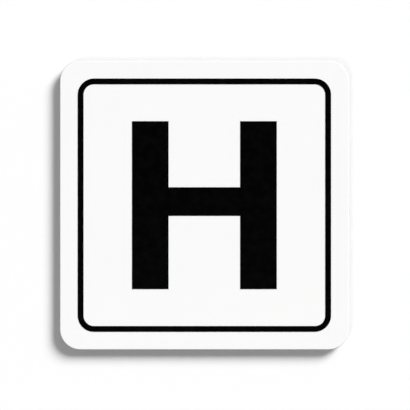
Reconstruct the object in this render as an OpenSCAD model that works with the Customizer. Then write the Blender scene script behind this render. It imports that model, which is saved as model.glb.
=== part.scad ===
// Hydrant sign: a square white plastic plate with a printed frame line and a bold letter H.
// A pad of double-sided foam tape holds it to a wall or a cabinet door.
// Millimetres, +Z up. The print looks towards -Y, and the origin is the middle of the tape's
// outer adhesive face, so the wall is the plane Y = 0.

/* [Plate] */
// Side of the square plate
plate_side = 80; // [72:1:160]
// Thickness of the sheet that the plate is cut from
plate_t = 2; // [1:0.5:5]
// Radius of the plate's four corners
plate_r = 5.7; // [2:0.1:15]
// Radius of the rounding along the front and back edges
edge_r = 0.3; // [0.1:0.05:0.45]

/* [Frame line] */
// Margin between the plate's edge and the printed line
line_margin = 5; // [3:0.5:9]
// Width of the line
line_w = 1.6; // [0.6:0.1:3]
// Outer radius of the line's four corners
line_r = 4.5; // [3.5:0.1:12]

/* [Letter H] */
// Width over both stems
letter_w = 40; // [30:0.1:52]
// Height of the stems
letter_h = 46.4; // [36:0.1:52]
// Width of each stem
stem_w = 10.1; // [6:0.1:13]
// Height of the crossbar
bar_h = 7.9; // [4:0.1:12]
// Rise of the crossbar's middle above the letter's middle
bar_rise = 1; // [-4:0.5:4]

/* [Ink] */
// Thickness of the cured ink film on the plate's face
ink_t = 0.08; // [0.04:0.01:0.3]

/* [Foam tape] */
// Width of the roll that the pad is cut from
tape_w = 50; // [19:1:64]
// Length that the pad is cut to
tape_l = 60; // [20:1:66]
// Thickness of the foam with both its adhesive coats
tape_t = 1; // [0.5:0.1:2]

/* [Hidden] */
$fn = 96;

// Heights of the plate's back and face above the wall
plate_back = tape_t;
plate_front = plate_back + plate_t;

// Outer side of the frame line's square
line_side = plate_side - 2 * line_margin;

// Distance between the middles of the two stems
stem_spacing = letter_w - stem_w;

// Turns the sign's flat frame, X right, Y up and Z out of the face, to stand against the wall
module against_wall() {
  rotate([90, 0, 0]) children();
}

// Carries a profile round a square with rounded corners.
// The profile lies at X <= 0, with X = 0 on the path and Y along the plate's depth.
module sweep_round_square(side, r) {
  straight = side - 2 * r;
  for (quarter = [0:3])
    rotate(90 * quarter) {
      translate([side / 2, straight / 2, 0])
        rotate([90, 0, 0])
          linear_extrude(straight) children();
      translate([straight / 2, straight / 2, 0])
        rotate_extrude(angle = 90)
          translate([r, 0]) children();
    }
}

// Section of the plate from its outer edge in to the corner's centre, with both edges rounded
module plate_section() {
  flat_w = plate_r - edge_r;
  translate([-plate_r, 0]) {
    square([flat_w, plate_t]);
    translate([0, edge_r]) square([plate_r, plate_t - 2 * edge_r]);
    for (y = [edge_r, plate_t - edge_r])
      translate([flat_w, y]) circle(edge_r);
  }
}

module sign_plate() {
  middle = plate_side - 2 * plate_r;
  color("white")
    against_wall() translate([0, 0, plate_back]) {
      sweep_round_square(plate_side, plate_r) plate_section();
      translate([-middle / 2, -middle / 2, 0]) cube([middle, middle, plate_t]);
    }
}

// Lays a print on the plate's face
module on_face() {
  color("black")
    against_wall() translate([0, 0, plate_front]) children();
}

module frame_line() {
  on_face()
    sweep_round_square(line_side, line_r)
      translate([-line_w, 0]) square([line_w, ink_t]);
}

module letter_h_outline() {
  for (side = [-1, 1])
    translate([side * stem_spacing / 2, 0]) square([stem_w, letter_h], center = true);
  translate([0, bar_rise]) square([stem_spacing, bar_h], center = true);
}

module letter_h_print() {
  on_face() linear_extrude(ink_t) letter_h_outline();
}

module foam_tape() {
  color("gainsboro")
    against_wall()
      translate([-tape_w / 2, -tape_l / 2, 0]) cube([tape_w, tape_l, tape_t]);
}

sign_plate();
frame_line();
letter_h_print();
foam_tape();
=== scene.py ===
"""Looks of a square hydrant sign: a white plastic plate with black print, on a pad of foam tape.

Everything is in metres, in the sign's own frame: +Z up, the print looks towards -Y, and the wall
that the sign sticks to is the plane Y = 0. Textures are worked out in millimetres.
"""

import math

import bpy
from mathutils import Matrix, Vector, noise


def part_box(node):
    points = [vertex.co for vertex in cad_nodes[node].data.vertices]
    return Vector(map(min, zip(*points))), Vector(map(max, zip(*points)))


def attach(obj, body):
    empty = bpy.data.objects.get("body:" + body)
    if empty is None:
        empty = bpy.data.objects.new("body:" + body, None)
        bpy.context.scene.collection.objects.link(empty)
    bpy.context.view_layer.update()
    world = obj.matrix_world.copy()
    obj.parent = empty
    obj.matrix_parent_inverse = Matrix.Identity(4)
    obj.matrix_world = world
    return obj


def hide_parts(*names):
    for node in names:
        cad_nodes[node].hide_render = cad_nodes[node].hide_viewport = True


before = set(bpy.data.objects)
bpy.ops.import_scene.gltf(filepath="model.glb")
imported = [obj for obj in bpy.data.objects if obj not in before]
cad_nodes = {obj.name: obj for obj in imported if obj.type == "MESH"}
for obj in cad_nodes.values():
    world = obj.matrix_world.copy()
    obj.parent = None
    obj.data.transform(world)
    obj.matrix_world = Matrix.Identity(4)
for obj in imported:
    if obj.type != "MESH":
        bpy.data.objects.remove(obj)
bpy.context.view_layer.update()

MM = 0.001

# The photograph: its side, the plate's width in it and the plate's middle, in pixels
PHOTO_SIDE = 410
PLATE_WIDTH_IN_PHOTO = 289.5
PLATE_MIDDLE_IN_PHOTO = (204.4, 205.15)

# A long lens, because the photograph shows the sign straight on with no perspective
LENS_MM = 120.0
SENSOR_MM = 36.0

# Sizes of the sign, read from its frame. The frame doesn't hold the radius of the corners.
plate_low, plate_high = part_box("sign_plate")
tape_low, tape_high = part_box("foam_tape")
PLATE_HALF = plate_high.x
PLATE_CORNER_R = 5.7 * MM
TAPE_HALF_X = tape_high.x
TAPE_HALF_Z = tape_high.z
TAPE_THICKNESS = tape_high.y - tape_low.y

NUMBER = "NodeSocketFloat"
VECTOR = "NodeSocketVector"


# Helpers for node trees


def give(tree, socket, value):
    """Links a socket to another one, or sets it to a plain value."""
    if isinstance(value, bpy.types.NodeSocket):
        tree.links.new(value, socket)
    else:
        socket.default_value = value


def add_node(tree, kind, inputs=None, **settings):
    """A node with its settings, and its inputs set to values or linked from other sockets."""
    node = tree.nodes.new(kind)
    for name, value in settings.items():
        setattr(node, name, value)
    for name, value in (inputs or {}).items():
        give(tree, node.inputs[name], value)
    return node


def maths(tree, operation, first, second=None, third=None):
    """The result of one sum on plain numbers or sockets."""
    given = {i: v for i, v in enumerate((first, second, third)) if v is not None}
    return add_node(tree, "ShaderNodeMath", given, operation=operation).outputs[0]


def ramp(tree, value, low, high, to_low=0.0, to_high=1.0):
    """Value carried smoothly from the range low..high to the range to_low..to_high."""
    given = {
        "Value": value,
        "From Min": low,
        "From Max": high,
        "To Min": to_low,
        "To Max": to_high,
    }
    node = add_node(tree, "ShaderNodeMapRange", given, interpolation_type="SMOOTHSTEP")
    return node.outputs["Result"]


def blend_colours(tree, share, first, second):
    """A colour that goes from first, at share 0, to second, at share 1."""
    node = add_node(tree, "ShaderNodeMix", data_type="RGBA")
    factor = node.inputs["Factor"]
    first_colour, second_colour = (s for s in node.inputs if s.type == "RGBA")
    give(tree, factor, share)
    give(tree, first_colour, first)
    give(tree, second_colour, second)
    return next(s for s in node.outputs if s.type == "RGBA")


def cloud(tree, place, size_mm, detail=1.0):
    """Soft random values from 0 to 1, in blots about as wide as the size."""
    scale = maths(tree, "DIVIDE", 1.0, size_mm)
    given = {"Vector": place, "Scale": scale, "Detail": detail}
    return add_node(tree, "ShaderNodeTexNoise", given).outputs["Fac"]


def in_metres(tree, height_mm):
    """A height in millimetres turned to metres, as the relief of a finish takes it."""
    return maths(tree, "MULTIPLY", height_mm, MM)


def grey(level):
    """A plain grey of that level."""
    return (level, level, level, 1.0)


def new_group(name, inputs, outputs):
    """An empty shader group with named sockets: its tree, what it is given and what it puts out."""
    tree = bpy.data.node_groups.new(name, "ShaderNodeTree")
    tree.interface.new_socket("Place", in_out="INPUT", socket_type=VECTOR)
    for label, value in inputs.items():
        socket = tree.interface.new_socket(label, in_out="INPUT", socket_type=NUMBER)
        socket.default_value = value
    for label in outputs:
        tree.interface.new_socket(label, in_out="OUTPUT", socket_type=NUMBER)
    given = tree.nodes.new("NodeGroupInput").outputs
    result = tree.nodes.new("NodeGroupOutput").inputs
    return tree, given, result


def use_group(tree, group, **values):
    """Places a group in a tree. A value's name is the socket's name with underscores for spaces."""
    node = add_node(tree, "ShaderNodeGroup", node_tree=group)
    for name, value in values.items():
        give(tree, node.inputs[name.replace("_", " ")], value)
    return node.outputs


# Effects that several finishes share. They take sizes and heights in millimetres, and put out
# their Height in metres.

# Range of the soft blots over which a surface goes from clean to dulled
CLEAN_BELOW = 0.3
DULLED_ABOVE = 0.7

# Least distance past a corner's start, so that the turn round the corner always has a direction
HAIR = 0.001

# Cut marks: size of the blots that make the ridges drift, how many ridges they drift by, how many
# scratches there are in a millimetre, and the shares of ridges and of scratches in the depth
DRIFT_SIZE = 2.0
DRIFT_RIDGES = 7.0
SCRATCHES_PER_MM = 9.0
RIDGE_SHARE = 0.5
SCRATCH_SHARE = 1.2

# Foam cells: how uneven they are, and the distances from a wall's middle, in cell sizes, at which
# the wall starts to slope and reaches the pit
CELL_UNEVENNESS = 0.9
WALL_TOP = 0.04
PIT_FOOT = 0.32


def make_surface_relief():
    """Slow waves and a fine grain, as on rolled sheet, on ink and on a coat of adhesive."""
    inputs = {"Wave size": 1.4, "Wave height": 0.004, "Grain size": 0.2, "Grain height": 0.001}
    tree, given, result = new_group("surface relief", inputs, ["Height", "Wave"])
    wave = cloud(tree, given["Place"], given["Wave size"])
    grain = cloud(tree, given["Place"], given["Grain size"], detail=2.0)
    wave_part = maths(tree, "MULTIPLY", wave, given["Wave height"])
    height = maths(tree, "MULTIPLY_ADD", grain, given["Grain height"], wave_part)
    tree.links.new(in_metres(tree, height), result["Height"])
    tree.links.new(wave, result["Wave"])
    return tree


def make_handling_haze():
    """Cloudy patches, where hands and wiping have dulled the surface."""
    inputs = {"Patch size": 22.0, "Roughness": 0.35, "Haze": 0.06}
    tree, given, result = new_group("handling haze", inputs, ["Roughness", "Patch"])
    blots = cloud(tree, given["Place"], given["Patch size"], detail=2.0)
    patch = ramp(tree, blots, CLEAN_BELOW, DULLED_ABOVE)
    roughness = maths(tree, "MULTIPLY_ADD", patch, given["Haze"], given["Roughness"])
    tree.links.new(roughness, result["Roughness"])
    tree.links.new(patch, result["Patch"])
    return tree


def make_way_round():
    """How far along a quarter of its outline a point on the side of a square slab lies."""
    inputs = {"Half width": 40.0, "Half height": 40.0, "Corner radius": 5.0}
    tree, given, result = new_group("way round", inputs, ["Way"])
    radius = given["Corner radius"]
    place = add_node(tree, "ShaderNodeSeparateXYZ", {"Vector": given["Place"]}).outputs
    across = maths(tree, "ABSOLUTE", place["X"])
    up = maths(tree, "ABSOLUTE", place["Z"])
    straight_across = maths(tree, "SUBTRACT", given["Half width"], radius)
    straight_up = maths(tree, "SUBTRACT", given["Half height"], radius)
    past_across = maths(tree, "SUBTRACT", across, straight_across)
    past_up = maths(tree, "MAXIMUM", maths(tree, "SUBTRACT", up, straight_up), 0.0)
    turn = maths(tree, "ARCTAN2", past_up, maths(tree, "MAXIMUM", past_across, HAIR))
    side_part = maths(tree, "MINIMUM", up, straight_up)
    top_part = maths(tree, "MAXIMUM", maths(tree, "MULTIPLY", past_across, -1.0), 0.0)
    way = maths(tree, "MULTIPLY_ADD", turn, radius, maths(tree, "ADD", side_part, top_part))
    tree.links.new(way, result["Way"])
    return tree


def make_cut_marks():
    """Fine ridges that a cutter or knife leaves across an edge, a little uneven along the way."""
    inputs = {"Way": 0.0, "Spacing": 0.35, "Depth": 0.006}
    tree, given, result = new_group("cut marks", inputs, ["Height"])
    drift = cloud(tree, given["Place"], DRIFT_SIZE)
    turns = maths(tree, "DIVIDE", given["Way"], given["Spacing"])
    uneven = maths(tree, "MULTIPLY_ADD", drift, DRIFT_RIDGES, turns)
    ridge = maths(tree, "SINE", maths(tree, "MULTIPLY", uneven, 2 * math.pi))
    along = {"X": maths(tree, "MULTIPLY", given["Way"], SCRATCHES_PER_MM), "Y": drift}
    line = add_node(tree, "ShaderNodeCombineXYZ", along).outputs[0]
    scratches = cloud(tree, line, 1.0, detail=3.0)
    ridge_part = maths(tree, "MULTIPLY", ridge, RIDGE_SHARE)
    both = maths(tree, "MULTIPLY_ADD", scratches, SCRATCH_SHARE, ridge_part)
    height = maths(tree, "MULTIPLY", both, given["Depth"])
    tree.links.new(in_metres(tree, height), result["Height"])
    return tree


def make_foam_cells():
    """Closed foam cells: pits with thin walls between them."""
    inputs = {"Cell size": 0.35, "Depth": 0.05}
    tree, given, result = new_group("foam cells", inputs, ["Height", "Wall"])
    spots = {
        "Vector": given["Place"],
        "Scale": maths(tree, "DIVIDE", 1.0, given["Cell size"]),
        "Randomness": CELL_UNEVENNESS,
    }
    cells = add_node(tree, "ShaderNodeTexVoronoi", spots, feature="DISTANCE_TO_EDGE")
    wall = ramp(tree, cells.outputs["Distance"], WALL_TOP, PIT_FOOT, to_low=1.0, to_high=0.0)
    height = maths(tree, "MULTIPLY", wall, given["Depth"])
    tree.links.new(in_metres(tree, height), result["Height"])
    # The Wall mask also sets where the finishes paint shade into the pits.
    tree.links.new(wall, result["Wall"])
    return tree


SURFACE_RELIEF = make_surface_relief()
HANDLING_HAZE = make_handling_haze()
WAY_ROUND = make_way_round()
CUT_MARKS = make_cut_marks()
FOAM_CELLS = make_foam_cells()


# Finishes


def new_finish(name):
    """A material with an empty tree and its output node."""
    material = bpy.data.materials.new(name)
    material.use_nodes = True
    material.node_tree.nodes.clear()
    return material, material.node_tree, material.node_tree.nodes.new("ShaderNodeOutputMaterial")


def finish_with(tree, output, colour, roughness, gloss, height):
    """The finish's one shader, with its normal taken from a height in metres."""
    relief = {"Height": height, "Distance": 1.0, "Strength": 1.0}
    normal = add_node(tree, "ShaderNodeBump", relief).outputs["Normal"]
    look = {"Base Color": colour, "Roughness": roughness, "Normal": normal, **gloss}
    shader = add_node(tree, "ShaderNodeBsdfPrincipled", look)
    tree.links.new(shader.outputs[0], output.inputs["Surface"])


def place_in_mm(tree):
    """The point's place in the sign's frame, in millimetres."""
    place = add_node(tree, "ShaderNodeTexCoord").outputs["Object"]
    scaled = {0: place, "Scale": 1.0 / MM}
    return add_node(tree, "ShaderNodeVectorMath", scaled, operation="SCALE").outputs["Vector"]


def facing_wall(tree):
    """1 on faces turned to the wall, 0 on the cut edges and -1 on faces turned to the reader."""
    normal = add_node(tree, "ShaderNodeTexCoord").outputs["Normal"]
    return add_node(tree, "ShaderNodeSeparateXYZ", {"Vector": normal}).outputs["Y"]


PLASTIC_WHITE = (0.952, 0.952, 0.950, 1.0)
PLASTIC_WHITE_HANDLED = (0.944, 0.944, 0.943, 1.0)
# The cut edge's grey is mostly painted shade that darkens the plate's outline; a little of it is
# the matt edge's own tone.
PLASTIC_CUT_PAINTED_SHADE = (0.66, 0.66, 0.65, 1.0)
PLASTIC_GLOSS = {"IOR": 1.5, "Specular IOR Level": 0.22}

# How squarely the surface faces the wall or the reader where the look of the cut edge starts and
# where it is whole, and how squarely it faces the wall where the look of the back does
EDGE_FROM = 0.97
EDGE_WHOLE = 0.6
BACK_FROM = 0.5
BACK_WHOLE = 0.95

# How much rougher the cut edge and the back are than the face
EDGE_ROUGHER = 0.38
BACK_ROUGHER = 0.15


def white_plastic():
    """White styrene sheet: satin face, grained back, and a matt edge with the cutter's marks,
    painted grey as shade along the plate's outline.
    """
    material, tree, output = new_finish("white_plastic")
    place = place_in_mm(tree)
    towards_wall = facing_wall(tree)
    on_edge = ramp(tree, maths(tree, "ABSOLUTE", towards_wall), EDGE_FROM, EDGE_WHOLE)
    on_back = ramp(tree, towards_wall, BACK_FROM, BACK_WHOLE)

    relief = use_group(
        tree, SURFACE_RELIEF, Place=place, Wave_size=1.8, Wave_height=0.006,
        Grain_size=0.22, Grain_height=0.0015,
    )
    way = use_group(
        tree, WAY_ROUND, Place=place, Half_width=PLATE_HALF / MM, Half_height=PLATE_HALF / MM,
        Corner_radius=PLATE_CORNER_R / MM,
    )["Way"]
    marks = use_group(tree, CUT_MARKS, Place=place, Way=way, Spacing=0.55, Depth=0.008)
    grained = use_group(
        tree, SURFACE_RELIEF, Place=place, Wave_size=0.9, Wave_height=0.014,
        Grain_size=0.45, Grain_height=0.008,
    )
    with_marks = maths(tree, "MULTIPLY_ADD", marks["Height"], on_edge, relief["Height"])
    height = maths(tree, "MULTIPLY_ADD", grained["Height"], on_back, with_marks)

    haze = use_group(tree, HANDLING_HAZE, Place=place, Patch_size=24.0, Roughness=0.36, Haze=0.07)
    face_and_edge = maths(tree, "MULTIPLY_ADD", on_edge, EDGE_ROUGHER, haze["Roughness"])
    roughness = maths(tree, "MULTIPLY_ADD", on_back, BACK_ROUGHER, face_and_edge)

    face = blend_colours(tree, haze["Patch"], PLASTIC_WHITE, PLASTIC_WHITE_HANDLED)
    # The edge takes the grey of painted shade.
    colour = blend_colours(tree, on_edge, face, PLASTIC_CUT_PAINTED_SHADE)
    finish_with(tree, output, colour, roughness, PLASTIC_GLOSS, height)
    return material


INK_THICK = (0.0007, 0.0007, 0.0008, 1.0)
INK_THIN = (0.0017, 0.0017, 0.0018, 1.0)
INK_GLOSS = {"IOR": 1.45, "Specular IOR Level": 0.2}

# Height of one pass of the print head, how much rougher the middle of its band is, and the range
# of the relief's waves over which the ink goes from thick to thin
PRINT_BAND = 5.4
BAND_ROUGHER = 0.012
THICK_BELOW = 0.35
THIN_ABOVE = 0.7


def black_ink():
    """Cured black ink, which follows the sheet's waves, with faint bands from the print head."""
    material, tree, output = new_finish("black_ink")
    place = place_in_mm(tree)
    relief = use_group(
        tree, SURFACE_RELIEF, Place=place, Wave_size=1.8, Wave_height=0.005,
        Grain_size=0.12, Grain_height=0.0012,
    )
    haze = use_group(tree, HANDLING_HAZE, Place=place, Patch_size=24.0, Roughness=0.18, Haze=0.04)
    up = add_node(tree, "ShaderNodeSeparateXYZ", {"Vector": place}).outputs["Z"]
    band = maths(tree, "SINE", maths(tree, "MULTIPLY", up, 2 * math.pi / PRINT_BAND))
    roughness = maths(tree, "MULTIPLY_ADD", band, BAND_ROUGHER, haze["Roughness"])
    thin = ramp(tree, relief["Wave"], THICK_BELOW, THIN_ABOVE)
    colour = blend_colours(tree, thin, INK_THICK, INK_THIN)
    finish_with(tree, output, colour, roughness, INK_GLOSS, relief["Height"])
    return material


# The pits of the foam's cells are painted darker, as shade.
FOAM_PIT_PAINTED_SHADE = (0.60, 0.60, 0.585, 1.0)
FOAM_WALL = (0.80, 0.80, 0.785, 1.0)
FOAM_GLOSS = {"IOR": 1.4, "Specular IOR Level": 0.3}
FOAM_ROUGHNESS = 0.75


def cut_foam():
    """The foam's slit side: open cells, painted darker in their pits as shade, with the knife's
    drag along it.
    """
    material, tree, output = new_finish("cut_foam")
    place = place_in_mm(tree)
    cells = use_group(tree, FOAM_CELLS, Place=place, Cell_size=0.32, Depth=0.07)
    way = use_group(
        tree, WAY_ROUND, Place=place, Half_width=TAPE_HALF_X / MM, Half_height=TAPE_HALF_Z / MM,
        Corner_radius=0.0,
    )["Way"]
    marks = use_group(tree, CUT_MARKS, Place=place, Way=way, Spacing=1.9, Depth=0.012)
    height = maths(tree, "ADD", cells["Height"], marks["Height"])
    # Painted shade: darker in the cells' pits.
    colour = blend_colours(tree, cells["Wall"], FOAM_PIT_PAINTED_SHADE, FOAM_WALL)
    finish_with(tree, output, colour, FOAM_ROUGHNESS, FOAM_GLOSS, height)
    return material


# Over the foam's pits the coat is painted darker, as shade; the wetted tone is the coat's own.
ADHESIVE_OVER_PIT_PAINTED_SHADE = (0.71, 0.71, 0.69, 1.0)
ADHESIVE_OVER_WALL = (0.83, 0.83, 0.81, 1.0)
ADHESIVE_WETTED = (0.765, 0.765, 0.74, 1.0)
ADHESIVE_GLOSS = {"IOR": 1.47, "Specular IOR Level": 0.5}

# How far the colour goes to the wetted one where the adhesive lies closest
MOST_WETTED = 0.7

# The place is shrunk along the tape, which draws the coat's streaks out in that direction
COATING_SHRINK = (1.0, 1.0, 0.07)


def adhesive_coat():
    """Clear adhesive over white foam: streaks along the tape, and the cells show through, painted
    darker over their pits as shade.
    """
    material, tree, output = new_finish("adhesive_coat")
    place = place_in_mm(tree)
    shrink = {0: place, 1: COATING_SHRINK}
    along = add_node(tree, "ShaderNodeVectorMath", shrink, operation="MULTIPLY").outputs["Vector"]
    streaks = use_group(
        tree, SURFACE_RELIEF, Place=along, Wave_size=1.7, Wave_height=0.03,
        Grain_size=0.35, Grain_height=0.006,
    )
    cells = use_group(tree, FOAM_CELLS, Place=place, Cell_size=0.8, Depth=0.012)
    haze = use_group(tree, HANDLING_HAZE, Place=place, Patch_size=9.0, Roughness=0.24, Haze=0.2)
    height = maths(tree, "ADD", cells["Height"], streaks["Height"])
    # Painted shade: darker over the cells' pits.
    foam = blend_colours(tree, cells["Wall"], ADHESIVE_OVER_PIT_PAINTED_SHADE, ADHESIVE_OVER_WALL)
    wetted = maths(tree, "MULTIPLY", haze["Patch"], MOST_WETTED)
    colour = blend_colours(tree, wetted, foam, ADHESIVE_WETTED)
    finish_with(tree, output, colour, haze["Roughness"], ADHESIVE_GLOSS, height)
    return material


# Pieces


def dress(node_name, material):
    """Gives a CAD node a finish, on every slot that it has."""
    slots = cad_nodes[node_name].data.materials
    for index in range(len(slots)):
        slots[index] = material


# Section down the pad's side, from the wall to the middle of the foam: share of the thickness, and
# how far in it lies, in millimetres. The foam bulges out past the lip of the adhesive coat.
WALL_HALF_OF_SECTION = (
    (0.0, 0.30),
    (0.06, 0.26),
    (0.09, 0.34),
    (0.2, 0.16),
    (0.35, 0.06),
    (0.5, 0.03),
)
PLATE_HALF_OF_SECTION = tuple((1.0 - share, inset) for share, inset in WALL_HALF_OF_SECTION[-2::-1])
PAD_SECTION = WALL_HALF_OF_SECTION + PLATE_HALF_OF_SECTION

# Cells of the pad's grid, each 1 mm wide and high
PAD_COLUMNS = 50
PAD_ROWS = 60

# How far the knife wanders on the pad's outline, and how long one of its wanders is
KNIFE_WANDER = 0.1 * MM
KNIFE_WANDER_SIZE = 8.0 * MM

# Pockets of trapped air in the adhesive: their size, the layer of the noise that they are read
# from, and the noise at which one is fully dented
POCKET_DEPTH = 0.09 * MM
POCKET_WIDTH = 3.2 * MM
POCKET_LENGTH = 7.5 * MM
POCKET_LAYER = 3.0
POCKET_FULL_AT = 0.5

# Angle from which the pad's faces meet in a sharp edge
SHARP_FROM_DEG = 50.0


def knife_wander(x, z):
    """0 to 1: how far in the knife has wandered at this point of the outline."""
    spot = Vector((x / KNIFE_WANDER_SIZE, 0.0, z / KNIFE_WANDER_SIZE))
    return 0.5 + 0.5 * noise.noise(spot)


def air_pocket(x, z):
    """0 where the adhesive lies flat on the wall, up to 1 where trapped air has dented it."""
    spot = Vector((x / POCKET_WIDTH, POCKET_LAYER, z / POCKET_LENGTH))
    dent = min(max(noise.noise(spot) / POCKET_FULL_AT, 0.0), 1.0)
    return dent * dent * (3.0 - 2.0 * dent)


def pad_point(column, row, inset, y):
    """A point of the pad's grid. Points on its outline are drawn in, the rest stay."""
    x = TAPE_HALF_X * (2 * column / PAD_COLUMNS - 1)
    z = TAPE_HALF_Z * (2 * row / PAD_ROWS - 1)
    drawn_in = inset + KNIFE_WANDER * knife_wander(x, z)
    side_x = (column == PAD_COLUMNS) - (column == 0)
    side_z = (row == PAD_ROWS) - (row == 0)
    return x - side_x * drawn_in, y, z - side_z * drawn_in


def pad_outline():
    """Columns and rows of the grid's outer points, in order round the pad."""
    bottom = [(column, 0) for column in range(PAD_COLUMNS)]
    right = [(PAD_COLUMNS, row) for row in range(PAD_ROWS)]
    top = [(PAD_COLUMNS - column, PAD_ROWS) for column in range(PAD_COLUMNS)]
    left = [(0, PAD_ROWS - row) for row in range(PAD_ROWS)]
    return bottom + right + top + left


def wall_face_of_pad():
    """The face that sticks to the wall, a grid with shallow dents: its vertices and faces."""
    vertices = []
    for row in range(PAD_ROWS + 1):
        for column in range(PAD_COLUMNS + 1):
            x, _, z = pad_point(column, row, PAD_SECTION[0][1] * MM, 0.0)
            vertices.append((x, tape_high.y - POCKET_DEPTH * air_pocket(x, z), z))
    faces = []
    wide = PAD_COLUMNS + 1
    for row in range(PAD_ROWS):
        for column in range(PAD_COLUMNS):
            low = row * wide + column
            faces.append((low, low + wide, low + wide + 1, low + 1))
    return vertices, faces


def make_foam_pad():
    """The tape pad: foam that bulges between two adhesive coats, squeezed by the plate."""
    outline = pad_outline()
    vertices, faces = wall_face_of_pad()
    coat_faces = len(faces)
    ring = [row * (PAD_COLUMNS + 1) + column for column, row in outline]
    for share, inset_mm in PAD_SECTION[1:]:
        y = tape_high.y - share * TAPE_THICKNESS
        next_ring = range(len(vertices), len(vertices) + len(outline))
        vertices += [pad_point(column, row, inset_mm * MM, y) for column, row in outline]
        for k in range(len(outline)):
            after = (k + 1) % len(outline)
            faces.append((ring[k], ring[after], next_ring[after], next_ring[k]))
        ring = list(next_ring)
    side_faces = len(faces)
    faces.append(tuple(ring))
    mesh = bpy.data.meshes.new("foam_tape_pad")
    mesh.from_pydata(vertices, [], faces)
    mesh.materials.append(adhesive_coat())
    mesh.materials.append(cut_foam())
    for polygon in mesh.polygons:
        polygon.use_smooth = True
        polygon.material_index = 1 if coat_faces <= polygon.index < side_faces else 0
    mesh.set_sharp_from_angle(angle=math.radians(SHARP_FROM_DEG))
    pad = bpy.data.objects.new("foam_tape_pad", mesh)
    bpy.context.scene.collection.objects.link(pad)
    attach(pad, "root")
    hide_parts("foam_tape")


# Wall and floor. A "seen" level is for the camera and mirror images, and a "bounced" one is for the
# light that falls back on the sign.

WALL_SEEN = 0.980
WALL_BOUNCED = 0.3
WALL_GAP = 0.05 * MM
FLOOR_SEEN = 0.74
FLOOR_BOUNCED = 0.1
FLOOR_DROP = 0.15
FLOOR_FADE_FROM = 0.25
FLOOR_FADE_TO = 0.65
ROOM_HALF = 4.0


def seen_or_mirrored(tree):
    """1 where the camera looks, straight or by way of gloss or glass, and 0 for spread light."""
    ray = add_node(tree, "ShaderNodeLightPath").outputs
    gloss_or_glass = maths(tree, "MAXIMUM", ray["Is Glossy Ray"], ray["Is Transmission Ray"])
    return maths(tree, "MAXIMUM", ray["Is Camera Ray"], gloss_or_glass)


def stage_paint(tree, seen_level, bounced_level):
    """Matt grey paint: one level as it is seen, another for the light that it throws back."""
    colour = blend_colours(tree, seen_or_mirrored(tree), grey(bounced_level), grey(seen_level))
    return add_node(tree, "ShaderNodeBsdfDiffuse", {"Color": colour}).outputs[0]


def mix_shaders(tree, share, first, second):
    """A shader that goes from first, at share 0, to second, at share 1."""
    return add_node(tree, "ShaderNodeMixShader", {0: share, 1: first, 2: second}).outputs[0]


def white_wall():
    """Painted wall that takes the sign's shadow. It is clear to someone who looks from behind."""
    material, tree, output = new_finish("white_wall")
    from_behind = add_node(tree, "ShaderNodeNewGeometry").outputs["Backfacing"]
    passed_before = add_node(tree, "ShaderNodeLightPath").outputs["Transparent Depth"]
    clear_here = maths(tree, "MINIMUM", maths(tree, "ADD", from_behind, passed_before), 1.0)
    paint = stage_paint(tree, WALL_SEEN, WALL_BOUNCED)
    clear = add_node(tree, "ShaderNodeBsdfTransparent").outputs[0]
    tree.links.new(mix_shaders(tree, clear_here, paint, clear), output.inputs["Surface"])
    return material


def pale_floor():
    """Floor that fades out into the white room. It is clear to lamps and to a look from below."""
    material, tree, output = new_finish("pale_floor")
    place = add_node(tree, "ShaderNodeTexCoord").outputs["Object"]
    away = add_node(tree, "ShaderNodeVectorMath", {0: place}, operation="LENGTH").outputs["Value"]
    fade = ramp(tree, away, FLOOR_FADE_FROM, FLOOR_FADE_TO)
    faded_here = maths(tree, "MULTIPLY", fade, seen_or_mirrored(tree))
    lamp_ray = add_node(tree, "ShaderNodeLightPath").outputs["Is Shadow Ray"]
    from_below = add_node(tree, "ShaderNodeNewGeometry").outputs["Backfacing"]
    let_through = maths(tree, "MAXIMUM", lamp_ray, from_below)
    clear_here = maths(tree, "MAXIMUM", faded_here, let_through)
    paint = stage_paint(tree, FLOOR_SEEN, FLOOR_BOUNCED)
    clear = add_node(tree, "ShaderNodeBsdfTransparent").outputs[0]
    tree.links.new(mix_shaders(tree, clear_here, paint, clear), output.inputs["Surface"])
    return material


def add_square(name, middle, across, up, material):
    """A large flat square of the stage, spanned by two directions from its middle."""
    signs = ((-1, -1), (1, -1), (1, 1), (-1, 1))
    corners = [middle + ROOM_HALF * (a * across + b * up) for a, b in signs]
    mesh = bpy.data.meshes.new(name)
    mesh.from_pydata(corners, [], [(0, 1, 2, 3)])
    mesh.materials.append(material)
    square = bpy.data.objects.new(name, mesh)
    bpy.context.scene.collection.objects.link(square)


def add_room():
    """The wall that the sign is on, and a floor under it."""
    x, y, z = Vector((1, 0, 0)), Vector((0, 1, 0)), Vector((0, 0, 1))
    add_square("wall", (tape_high.y + WALL_GAP) * y, x, z, white_wall())
    add_square("floor", -FLOOR_DROP * z, x, y, pale_floor())


# Light. A lamp's direction points to it, and its share is of the light that makes the wall white.

KEY_DIRECTION = Vector((1.03, -1.0, 1.06))
KEY_SHARE = 0.722
KEY_WIDTH_DEG = 25.0
FILL_DIRECTION = Vector((-0.6, -1.0, -0.6))
FILL_SHARE = 0.164
FILL_WIDTH_DEG = 20.0
BACK_DIRECTION = Vector((0.65, 0.7, 0.5))
BACK_SHARE = 0.62
BACK_WIDTH_DEG = 25.0
SIDE_DIRECTION = Vector((1.0, -0.012, 0.1))
SIDE_SHARE = 0.0024
SIDE_WIDTH_DEG = 2.5
ROOM_LEVEL = 0.22
READER_SIDE_LEVEL = 0.018
READER_SIDE_DEG = 24.0
READER_SIDE_END_DEG = 38.0
WHITE_FROM_DEG = 65.0
WHITE_ALL_DEG = 85.0


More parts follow.
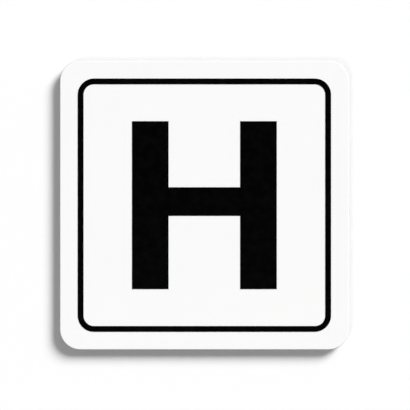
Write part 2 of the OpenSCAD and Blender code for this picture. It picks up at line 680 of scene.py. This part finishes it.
def add_lamp(name, direction, share, width_deg):
    """A wide, far lamp that gives a surface parallel to the wall that share of full white."""
    direction = direction.normalized()
    lamp = bpy.data.lights.new(name, "SUN")
    lamp.energy = share * math.pi / abs(direction.y)
    lamp.angle = math.radians(width_deg)
    holder = bpy.data.objects.new(name, lamp)
    holder.rotation_euler = direction.to_track_quat("Z", "Y").to_euler()
    bpy.context.scene.collection.objects.link(holder)


def add_room_light():
    """The room round the sign. The camera sees it white, and so does gloss, except on the side
    where the sign's reader stands. It gives plain light too, least of all from that side."""
    world = bpy.data.worlds.new("room")
    bpy.context.scene.world = world
    world.use_nodes = True
    tree = world.node_tree
    tree.nodes.clear()
    direction = add_node(tree, "ShaderNodeTexCoord").outputs["Generated"]
    dot = {0: direction, 1: (0.0, -1.0, 0.0)}
    nearness = add_node(tree, "ShaderNodeVectorMath", dot, operation="DOT_PRODUCT").outputs["Value"]
    ends = (READER_SIDE_DEG, READER_SIDE_END_DEG, WHITE_FROM_DEG, WHITE_ALL_DEG)
    dark, plain, past_plain, white = (math.cos(math.radians(end)) for end in ends)
    light = ramp(tree, nearness, plain, dark, 1.0, READER_SIDE_LEVEL)
    lit_level = maths(tree, "MULTIPLY", light, ROOM_LEVEL)
    whiteness = ramp(tree, nearness, white, past_plain, 1.0, 0.0)
    from_camera = add_node(tree, "ShaderNodeLightPath").outputs["Is Camera Ray"]
    whole = maths(tree, "MAXIMUM", from_camera, maths(tree, "MAXIMUM", whiteness, lit_level))
    lit = add_node(tree, "ShaderNodeBackground", {"Color": grey(1.0), "Strength": lit_level})
    seen = add_node(tree, "ShaderNodeBackground", {"Color": grey(1.0), "Strength": whole})
    room = mix_shaders(tree, seen_or_mirrored(tree), lit.outputs[0], seen.outputs[0])
    add_node(tree, "ShaderNodeOutputWorld", {"Surface": room})


def add_camera():
    """Looks straight at the sign, so that the plate fills the same pixels as in the photograph."""
    pixel = 2 * PLATE_HALF / PLATE_WIDTH_IN_PHOTO
    distance = pixel * PHOTO_SIDE * LENS_MM / SENSOR_MM
    off_x, off_y = (middle - PHOTO_SIDE / 2 for middle in PLATE_MIDDLE_IN_PHOTO)
    data = bpy.data.cameras.new("camera")
    data.lens = LENS_MM
    data.sensor_width = SENSOR_MM
    camera = bpy.data.objects.new("camera", data)
    camera.location = (-off_x * pixel, plate_low.y - distance, off_y * pixel)
    camera.rotation_euler = (math.radians(90), 0.0, 0.0)
    bpy.context.scene.collection.objects.link(camera)
    bpy.context.scene.camera = camera


ink = black_ink()
dress("sign_plate", white_plastic())
dress("frame_line", ink)
dress("letter_h_print", ink)
make_foam_pad()
add_room()
add_lamp("key_light", KEY_DIRECTION, KEY_SHARE, KEY_WIDTH_DEG)
add_lamp("fill_light", FILL_DIRECTION, FILL_SHARE, FILL_WIDTH_DEG)
add_lamp("back_light", BACK_DIRECTION, BACK_SHARE, BACK_WIDTH_DEG)
add_lamp("side_light", SIDE_DIRECTION, SIDE_SHARE, SIDE_WIDTH_DEG)
add_room_light()
add_camera()
bpy.context.scene.view_settings.view_transform = "Standard"
